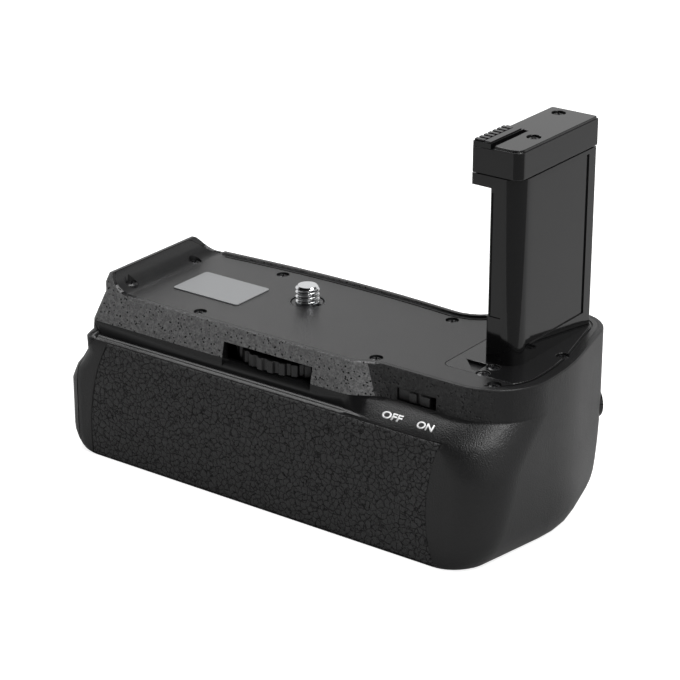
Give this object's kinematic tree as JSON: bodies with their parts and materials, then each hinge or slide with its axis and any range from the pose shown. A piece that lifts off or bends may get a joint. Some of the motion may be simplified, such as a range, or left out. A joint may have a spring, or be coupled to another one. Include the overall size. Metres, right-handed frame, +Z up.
{
  "type": "camera battery grip",
  "caption": "Vertical battery grip that screws under a small camera: stud and thumbwheel on the deck, contact pillar, power switch, shutter button, battery bays and a hinged door.",
  "frame": {"origin": "on the axis of the camera stud, at the level of the deck", "axes": "+X to the hand-grip end with the pillar, +Y to the front of the camera, +Z up out of the deck"},
  "size_m": [0.1378, 0.0678, 0.1029],
  "materials": {
    "shell": "fine sand texture",
    "gloss": "gloss",
    "grip_rubber": "cracked leather grain",
    "black_screw": "black oxide",
    "steel": "satin",
    "nickel": "satin",
    "chrome": "polished",
    "brass": "satin",
    "label": "satin, bare",
    "board": "satin"
  },
  "bodies": {
    "housing": {"main_shell": "shell", "deck_plate": "shell", "label_plate": "label", "rear_grip_skin": "grip_rubber", "front_grip_skin": "grip_rubber", "pillar_base": "shell", "pillar_shaft": "gloss", "pillar_cap": "gloss", "contact_block": "gloss", "pillar_screws": "steel", "pillar_clamp": "nickel", "deck_screws": "black_screw", "stud_bush": "brass", "wheel_axle": "steel", "wheel_bracket": "nickel", "bracket_screws": "steel", "switch_body": "nickel", "shutter_cup": "gloss", "shutter_switch": "nickel", "battery_tray": "gloss", "bay_contacts": "brass", "circuit_board": "board", "tripod_socket": "brass", "door_hinge_pin": "steel"},
    "wheel": {"thumbwheel": "shell"},
    "stud": {"camera_stud": "chrome", "stud_clip": "gloss"},
    "switch": {"switch_slider": "gloss"},
    "shutter": {"shutter_button": "gloss"},
    "door": {"battery_door": "shell"},
    "latch": {"door_latch": "gloss"}
  },
  "joints": [
    {"name": "wheel_spin", "type": "hinge", "parent": "housing", "child": "wheel", "pos_m": [0.0073, -0.00755, -0.007], "axis": [0, 0, 1], "continuous": true},
    {"name": "stud_spin", "type": "hinge", "parent": "housing", "child": "stud", "pos_m": [0, 0, 0], "axis": [0, 0, 1], "continuous": true},
    {"name": "switch_slide", "type": "slide", "parent": "housing", "child": "switch", "axis": [1, 0, 0], "range_m": [0, 0.0015]},
    {"name": "shutter_press", "type": "slide", "parent": "housing", "child": "shutter", "axis": [-0.5592, -0.829, 0], "range_m": [0, 0.001], "stiffness_N_per_m": 400},
    {"name": "door_swing", "type": "hinge", "parent": "housing", "child": "door", "pos_m": [-0.056, 0.0175, -0.031], "axis": [0, 0, -1], "range_deg": [0, 105]},
    {"name": "latch_slide", "type": "slide", "parent": "door", "child": "latch", "axis": [0, -1, 0], "range_m": [0, 0.0024]}
  ],
  "couplings": [
    {"joint": "stud_spin", "follows": "wheel_spin", "ratio": -1}
  ]
}
